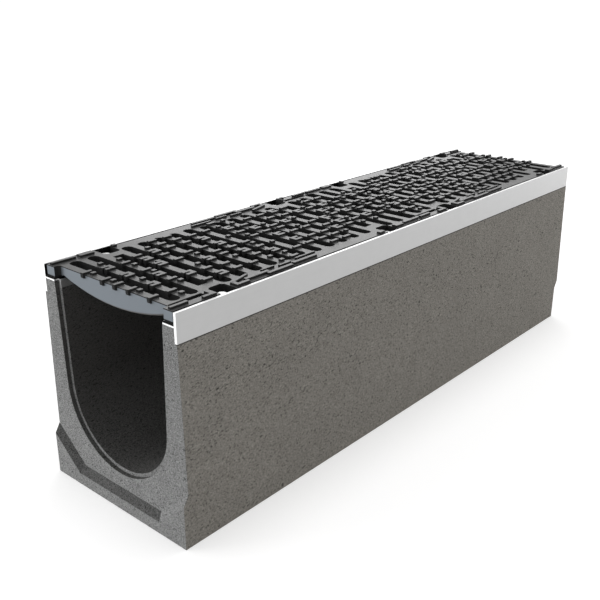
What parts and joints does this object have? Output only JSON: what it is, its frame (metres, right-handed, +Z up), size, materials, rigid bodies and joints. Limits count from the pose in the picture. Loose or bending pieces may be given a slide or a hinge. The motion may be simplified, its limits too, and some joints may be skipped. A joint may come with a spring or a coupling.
{
  "type": "trench drain channel",
  "caption": "Concrete trench drain channel with galvanised edge rails and black cast iron slotted gratings clipped on top.",
  "frame": {"origin": "middle of the underside's bounding box, on the floor the channel stands on", "axes": "+Z up, +Y along the channel from the tongue end to the socket end, +X across to its right-hand rail"},
  "size_m": [0.2684, 1.008, 0.313],
  "materials": {
    "concrete": "cast, fine grained with small pores",
    "galvanised_steel": "galvanised, dull",
    "strip_rubber": "matte",
    "black_iron": "black dip coat, semi-gloss",
    "anchor_steel": "mill",
    "spring_steel": "blackened"
  },
  "bodies": {
    "root": {"channel_body": "concrete", "edge_rail_left": "galvanised_steel", "edge_rail_right": "galvanised_steel", "bearing_strip_left": "strip_rubber", "bearing_strip_right": "strip_rubber", "grate_1": "black_iron", "grate_2": "black_iron", "rail_anchor_left_1": "anchor_steel", "lock_lug_left_1": "galvanised_steel", "lock_spring_left_1": "spring_steel", "rail_anchor_left_2": "anchor_steel", "lock_lug_left_2": "galvanised_steel", "lock_spring_left_2": "spring_steel", "rail_anchor_left_3": "anchor_steel", "lock_lug_left_3": "galvanised_steel", "lock_spring_left_3": "spring_steel", "rail_anchor_left_4": "anchor_steel", "lock_lug_left_4": "galvanised_steel", "lock_spring_left_4": "spring_steel", "rail_anchor_right_1": "anchor_steel", "lock_lug_right_1": "galvanised_steel", "lock_spring_right_1": "spring_steel", "rail_anchor_right_2": "anchor_steel", "lock_lug_right_2": "galvanised_steel", "lock_spring_right_2": "spring_steel", "rail_anchor_right_3": "anchor_steel", "lock_lug_right_3": "galvanised_steel", "lock_spring_right_3": "spring_steel", "rail_anchor_right_4": "anchor_steel", "lock_lug_right_4": "galvanised_steel", "lock_spring_right_4": "spring_steel"}
  },
  "joints": []
}
